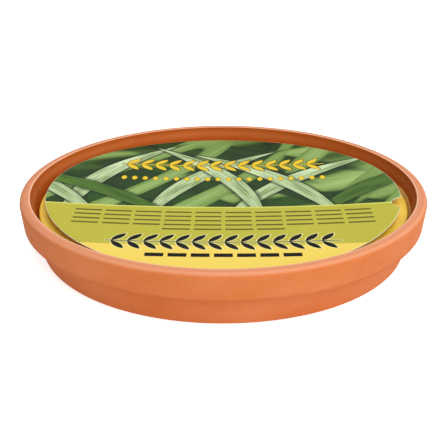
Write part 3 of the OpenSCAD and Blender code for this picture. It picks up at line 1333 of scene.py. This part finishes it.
def braided_tape(g: Graph, i: dict[str, Term]) -> Term:
    """Lays strands in a flat braid along a path whose wide side faces across X.

    Args:
        g: The tree's graph.
        i: The tree's inputs.

    Returns:
        The braid's geometry.
    """
    section_sides = 8
    path = g.add("GeometryNodeMeshToCurve", {0: i["Geometry"]})[0]
    even = g.add("GeometryNodeResampleCurve", {"Curve": path, "Count": i["Samples"]})[0]
    many = g.add(
        "GeometryNodeDuplicateElements", {"Geometry": even, "Amount": i["Strands"]}, domain="SPLINE")
    run = g.add("GeometryNodeSplineParameter")["Length"]
    turn = (run / i["Lay"] + many["Duplicate Index"] / i["Strands"]) * math.tau
    half_w = i["Width"] * 0.5 - i["Strand Radius"]
    half_t = i["Thickness"] * 0.5 - i["Strand Radius"]
    across = half_w * g.math("SINE", turn)
    through = half_t * g.math("SINE", turn * 2.0)
    tangent = g.add("GeometryNodeInputTangent")[0]
    out = g.vector("SCALE", g.vector("CROSS_PRODUCT", tangent, (1, 0, 0)), scale=through)
    offset = g.vector("ADD", g.join(across), out)
    laid = g.add("GeometryNodeSetPosition", {"Geometry": many["Geometry"], "Offset": offset})[0]
    section = g.add(
        "GeometryNodeCurvePrimitiveCircle", {"Resolution": section_sides, "Radius": i["Strand Radius"]},
        mode="RADIUS")[0]
    strands = g.add(
        "GeometryNodeCurveToMesh", {"Curve": laid, "Profile Curve": section, "Fill Caps": True})[0]
    return g.add("GeometryNodeSetShadeSmooth", {"Geometry": strands, "Shade Smooth": True})[0]


@dataclass
class Turned:
    """A piece turned about the axis from a profile."""

    sizes: Sizes
    name: str
    node: str
    slot: str
    gap: float
    unevenness: float
    uneven_size: float
    seed: float
    segments: int = 256

    def corners(self) -> list[Corner]:
        """Gives each corner's radius, height and rounding, from the axis below to the axis above."""
        raise NotImplementedError

    def build(self, tree: ShapeTree, material: bpy.types.Material) -> bpy.types.Object:
        """Builds the piece in place of its CAD node.

        Args:
            tree: The tree that turns a profile.
            material: The piece's finish.

        Returns:
            The piece.
        """
        profile = spaced(rounded_profile(self.corners()), self.gap)
        source = path_object(self.name + "_profile", [(r, 0.0, z) for r, z in profile])
        obj = tree.grow(source, self.name, Segments=self.segments, Unevenness=self.unevenness,
                        Uneven_Size=self.uneven_size, Seed=self.seed, Material=material)
        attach(obj, "root")
        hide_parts(self.node)
        return obj


@dataclass
class Saucer(Turned):
    """The terracotta saucer, with its square band, step and foot ring."""

    name: str = "saucer_body"
    node: str = "saucer"
    slot: str = "terracotta"
    gap: float = 2.4 * MM
    unevenness: float = 0.16 * MM
    uneven_size: float = 50 * MM
    seed: float = 3.1
    band_draft: float = 1.4 * MM
    step_w: float = 4.9 * MM
    wall_draft: float = 4.9 * MM
    foot_w: float = 11.4 * MM
    recess_h: float = 1 * MM
    recess_slope: float = 1.5 * MM
    recess_round: float = 0.5 * MM
    foot_round: float = 2.4 * MM
    step_fillet: float = 1.4 * MM
    band_round: float = 0.9 * MM
    rim_round: float = 2.8 * MM
    inner_round: float = 1.0 * MM

    def corners(self) -> list[Corner]:
        """Gives each corner's radius, height and rounding.

        Returns:
            The corners, from the axis below, round the outside, to the axis above.
        """
        s = self.sizes
        band_r = s.rim_r - self.band_draft
        step_r = band_r - self.step_w
        foot_r = step_r - self.wall_draft
        foot_in_r = foot_r - self.foot_w
        return [
            (0, self.recess_h, 0),
            (foot_in_r - self.recess_slope, self.recess_h, self.recess_round),
            (foot_in_r, 0, self.recess_round),
            (foot_r, 0, self.foot_round),
            (step_r, s.band_z, self.step_fillet),
            (band_r, s.band_z, self.band_round),
            (s.rim_r, s.rim_z - self.rim_round, 0),
            (s.rim_r, s.rim_z, self.rim_round),
            (s.inner_r, s.rim_z, self.inner_round),
            (s.floor_r, s.floor_z, s.floor_fillet),
            (0, s.floor_z, 0),
        ]


@dataclass
class Wax(Turned):
    """The wax, shrunk a little from the wall, with a rounded edge and a shallow dip inside it."""

    name: str = "wax_body"
    node: str = "wax_fill"
    slot: str = "candle_wax"
    gap: float = 2.6 * MM
    unevenness: float = 0.14 * MM
    uneven_size: float = 30 * MM
    seed: float = 8.4
    shrinkage: float = 0.9 * MM
    edge_round: float = 1.2 * MM
    dip_w: float = 9 * MM
    dip: float = 0.25 * MM
    middle_dip: float = 0.1 * MM

    def corners(self) -> list[Corner]:
        """Gives each corner's radius, height and rounding.

        Returns:
            The corners, from the axis below, round the edge, to the axis above.
        """
        s = self.sizes
        wall_r = s.wall_r(s.wax_z)
        return [
            (0, s.floor_z, 0),
            (s.floor_r - self.shrinkage, s.floor_z, s.floor_fillet),
            (wall_r - self.shrinkage, s.wax_z, self.edge_round),
            (wall_r - self.dip_w, s.wax_z - self.dip, 0),
            (0, s.wax_z - self.middle_dip, 0),
        ]


@dataclass
class LabelCard:
    """The thin round card, curled up at its left and right, with a finger notch."""

    sizes: Sizes
    thick: float = 0.4 * MM
    lift: float = 3.75 * MM
    rest: float = 1.72 * MM
    wave: float = 0.12 * MM
    waves: float = 3.0
    wave_turn: float = 0.7
    edge_drop: float = 0.07 * MM
    edge_share: float = 0.9985
    rings: int = 40
    segments: int = 288
    notch_steps: int = 26
    nodes: tuple[str, ...] = (
        "label_card", "print_picture", "print_blades", "print_rule", "print_olive", "print_yellow",
        "print_gold_garland", "print_dark_garland", "print_dashes")

    def outline(self) -> list[Point2]:
        """Gives the card's outline.

        Returns:
            The points of the round edge, and then those of the notch.
        """
        s = self.sizes
        centre = s.notch_out
        cos_end = (s.card_r ** 2 + centre ** 2 - s.notch_r ** 2) / (2 * s.card_r * centre)
        end = math.acos(cos_end)
        points = []
        for n in range(self.segments + 1):
            a = s.notch_angle + end + (math.tau - 2 * end) * n / self.segments
            points.append((s.card_r * math.cos(a), s.card_r * math.sin(a)))
        sweep = math.atan2(s.card_r * math.sin(end), centre - s.card_r * cos_end)
        cos, sin = math.cos(s.notch_angle), math.sin(s.notch_angle)
        for n in range(1, self.notch_steps):
            b = math.pi + sweep - 2 * sweep * n / self.notch_steps
            x, y = centre + s.notch_r * math.cos(b), s.notch_r * math.sin(b)
            points.append((x * cos - y * sin, x * sin + y * cos))
        return points

    def height(self, x: float, y: float) -> float:
        """Gives the height of the underside, curled across and very slightly wavy along the edge.

        Args:
            x: The place across.
            y: The place along.

        Returns:
            The height.
        """
        s = self.sizes
        bend = (s.card_r ** 2 + self.lift ** 2) / (2 * self.lift)
        curl = bend - math.sqrt(bend * bend - x * x)
        out = min(1.0, math.hypot(x, y) / s.card_r) ** 3
        wave = math.sin(self.waves * math.atan2(y, x) + self.wave_turn) * self.wave * out
        return s.wax_z + self.rest + curl + wave

    def _layer(self, outline: Sequence[Point2], scales: Sequence[float], lift: float,
               drop: float) -> list[Point3]:
        """Gives the points of one side of the card.

        Args:
            outline: The card's outline.
            scales: The size of each ring of points, as a share of the outline.
            lift: Height of the side over the underside.
            drop: How far the outermost ring lies below the side.

        Returns:
            The middle point, and then each ring.
        """
        layer = [(0.0, 0.0, self.height(0, 0) + lift)]
        for share in scales:
            up = lift - drop if share == 1.0 else lift
            layer += [(x * share, y * share, self.height(x * share, y * share) + up) for x, y in outline]
        return layer

    @staticmethod
    def _disc(base: int, count: int, levels: int) -> list[tuple[int, ...]]:
        """Gives the faces of one side of the card.

        Args:
            base: The number of its middle point.
            count: How many points a ring has.
            levels: How many rings there are.

        Returns:
            The faces.
        """
        faces: list[tuple[int, ...]] = []
        for n in range(count):
            after = (n + 1) % count
            faces.append((base, base + 1 + n, base + 1 + after))
            for level in range(levels - 1):
                a = base + 1 + level * count
                faces.append((a + n, a + count + n, a + count + after, a + after))
        return faces

    def build(self, face: bpy.types.Material, core: bpy.types.Material) -> bpy.types.Object:
        """Builds the card in place of its CAD nodes.

        Args:
            face: The print.
            core: The bare board of the edge and the underside.

        Returns:
            The card.
        """
        outline = self.outline()
        count = len(outline)
        scales = [n / self.rings for n in range(1, self.rings)] + [self.edge_share, 1.0]
        # The outermost rings lie closer together, so that the edge isn't knife sharp
        top = self._layer(outline, scales, self.thick, self.edge_drop)
        under = self._layer(outline, scales, 0.0, -self.edge_drop)
        size = len(top)
        faces = self._disc(0, count, len(scales))
        tops = len(faces)
        faces += [tuple(reversed(corners)) for corners in self._disc(size, count, len(scales))]
        last = size - count
        for n in range(count):
            after = (n + 1) % count
            faces.append((last + n, size + last + n, size + last + after, last + after))
        obj = mesh_object("label_card_body", top + under, faces)
        obj.data.materials.append(face)
        obj.data.materials.append(core)
        for number, polygon in enumerate(obj.data.polygons):
            polygon.use_smooth = number < 2 * tops
            polygon.material_index = 0 if number < tops else 1
        face_outward(obj)
        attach(obj, "root")
        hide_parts(*self.nodes)
        return obj


@dataclass
class Wick:
    """A flat cotton braid that stands in the wax with its tip folded over under the card."""

    number: int
    width: float = 3.2 * MM
    thickness: float = 1.5 * MM
    fold_r: float = 0.95 * MM
    strands: int = 7
    strand_r: float = 0.36 * MM
    lay: float = 7.5 * MM
    inset: float = 0.1 * MM
    fold_steps: int = 8
    samples: int = 110

    def build(self, tree: ShapeTree, material: bpy.types.Material) -> bpy.types.Object:
        """Builds the wick in place of its CAD node.

        Args:
            tree: The tree that braids strands along a path.
            material: The cotton.

        Returns:
            The wick.
        """
        node = f"wick_{self.number}"
        low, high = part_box(node)
        x = (low.x + high.x) / 2
        y, top = high.y - self.thickness / 2, high.z - self.thickness / 2
        path = [(x, y, low.z + self.inset)]
        for step in range(self.fold_steps + 1):
            a = math.pi / 2 * step / self.fold_steps
            path.append((x, y - self.fold_r * (1 - math.cos(a)), top - self.fold_r * (1 - math.sin(a))))
        path.append((x, low.y + self.inset, top))
        obj = tree.grow(path_object(node + "_path", path), node + "_braid", Samples=self.samples,
                        Strands=self.strands, Width=self.width, Thickness=self.thickness,
                        Lay=self.lay, Strand_Radius=self.strand_r, Material=material)
        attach(obj, "root")
        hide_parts(node)
        return obj


@dataclass
class Sustainer:
    """The tin foot of a wick, which stays a CAD node with a better finish."""

    number: int

    def build(self, frame: dict[str, Any], material: bpy.types.Material) -> bpy.types.Object:
        """Dresses the CAD node.

        Args:
            material: The tin.

        Returns:
            The node's object.
        """
        obj = frame["nodes"][f"sustainer_{self.number}"]
        obj.data.materials.clear()
        obj.data.materials.append(material)
        return obj


def seen(g: Graph) -> Term:
    """Is 1 for rays that the camera sees, directly, mirrored or through a clear piece.

    Args:
        g: The graph of a material or the world.

    Returns:
        The value, 0 or 1.
    """
    path = g.add("ShaderNodeLightPath")
    mirrored = g.math("MAXIMUM", path["Is Glossy Ray"], path["Is Transmission Ray"])
    return g.math("MAXIMUM", path["Is Camera Ray"], mirrored)


@dataclass(frozen=True)
class PaleFloor:
    """A pale floor that shows white to the camera, keeps the shadow and throws light back up."""

    colour: Colour = srgb(240, 240, 240)
    seen_glow: float = 0.7
    pool_glow: float = 0.3
    edge_glow: float = 0.12
    pool_centre: Point3 = (0.05, -0.2, 0.0)
    pool_inner: float = 0.08
    pool_outer: float = 0.42

    def build(self) -> bpy.types.Material:
        """Builds the material.

        Returns:
            The material.
        """
        coat = Coat("floor", Roughness=0.9, Base_Color=self.colour, Specular_IOR_Level=0.1,
                    Emission_Color=WHITE)
        g = coat.graph
        # The light that comes up from the floor is strongest in front and a little to the right
        away = g.step(g.vector("DISTANCE", coat.place, self.pool_centre), self.pool_inner, self.pool_outer)
        pool = g.between(away, self.pool_glow, self.edge_glow)
        coat.set("Emission Strength", g.between(seen(g), pool, self.seen_glow))
        return coat.material


@dataclass(frozen=True)
class Lamp:
    """A square lamp that points at the origin."""

    name: str
    place: Point3
    size: float
    power: float


@dataclass
class Studio:
    """The plain floor, the lights and the camera."""

    camera_place: Point3 = (0.0, -0.4715, 0.2134)
    lens: float = 70.4
    shift: Point2 = (0.0014, 0.027)
    clip_start: float = 0.01
    floor_size: float = 12.0
    floor_drop: float = 0.2 * MM
    ambient: float = 0.52
    lean: float = 0.7
    lamps: tuple[Lamp, ...] = (
        Lamp("key_light", (0.35, -0.6, 1.3), 1.3, 14.4),
        Lamp("fill_light", (0.15, -1.5, 0.85), 1.0, 6.5),
    )

    def build(self) -> None:
        """Sets up the whole studio."""
        for part in (self._floor, self._world, self._lights, self._camera):
            part()

    @staticmethod
    def _stand(name: str, data: Any, place: Point3) -> bpy.types.Object:
        """Stands a lamp or a camera at a place, pointing at the origin.

        Args:
            name: The object's name.
            data: Its data.
            place: Where it stands.

        Returns:
            The object.
        """
        obj = linked_object(name, data)
        obj.location = place
        obj.rotation_euler = (-Vector(place)).to_track_quat("-Z", "Y").to_euler()
        return obj

    def _floor(self) -> None:
        """Lays the floor, just under the foot."""
        half, z = self.floor_size / 2, -self.floor_drop
        corners = [(-half, -half, z), (half, -half, z), (half, half, z), (-half, half, z)]
        floor = mesh_object("floor", corners, [(0, 1, 2, 3)])
        floor.data.materials.append(PaleFloor().build())

    def _world(self) -> None:
        """Gives soft white light from all round, and a white background."""
        world = bpy.data.worlds.new("studio")
        world.use_nodes = True
        bpy.context.scene.world = world
        g = Graph(world.node_tree)
        background = world.node_tree.nodes["Background"]
        g.feed(background.inputs["Color"], WHITE)
        # The light from the left is weaker than the light from the right
        way, _, _ = g.parts(g.add("ShaderNodeTexCoord")["Generated"])
        soft = g.math("MULTIPLY_ADD", way, self.ambient * self.lean, self.ambient)
        g.feed(background.inputs["Strength"], g.between(seen(g), soft, 1.0))

    def _lights(self) -> None:
        """Sets a broad key light at the upper right and a weaker one in front."""
        for lamp in self.lamps:
            light = bpy.data.lights.new(lamp.name, "AREA")
            light.size = lamp.size
            light.energy = lamp.power
            self._stand(lamp.name, light, lamp.place)

    def _camera(self) -> None:
        """Sets a camera at the photograph's angle."""
        data = bpy.data.cameras.new("camera")
        data.lens = self.lens
        data.shift_x, data.shift_y = self.shift
        data.clip_start = self.clip_start
        bpy.context.scene.camera = self._stand("camera", data, self.camera_place)
        bpy.context.scene.view_settings.view_transform = "Standard"


def report(obj: bpy.types.Object) -> None:
    """Logs a finished piece's name and its number of faces."""
    LOG.info("%s: %d faces", obj.name, len(obj.data.polygons))


def main() -> None:
    """Builds the candle and its studio."""
    logging.basicConfig(level=logging.INFO)
    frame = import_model()
    low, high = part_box("saucer")
    sizes = Sizes(rim_r=(high.x - low.x) / 2, rim_z=high.z)
    fx = Effects()
    turning = ShapeTree("turned_body", turned_body, Segments=Kind.COUNT, Unevenness=Kind.VALUE,
                        Uneven_Size=Kind.VALUE, Seed=Kind.VALUE)
    report(Saucer(sizes).build(turning, Terracotta(sizes).build(fx)))
    report(Wax(sizes).build(turning, CandleWax().build(fx)))
    report(LabelCard(sizes).build(CardPrint(fx, Artwork(sizes)).build(), CARD_CORE.build(fx)))
    braid = ShapeTree("braided_tape", braided_tape, Samples=Kind.COUNT, Strands=Kind.COUNT,
                      Width=Kind.VALUE, Thickness=Kind.VALUE, Lay=Kind.VALUE, Strand_Radius=Kind.VALUE)
    cotton, tin = WICK_COTTON.build(fx), TIN.build(fx)
    for number in (1, 2, 3):
        report(Wick(number).build(braid, cotton))
        report(Sustainer(number).build(frame, tin))
    Studio().build()


if __name__ == "__main__":
    main()
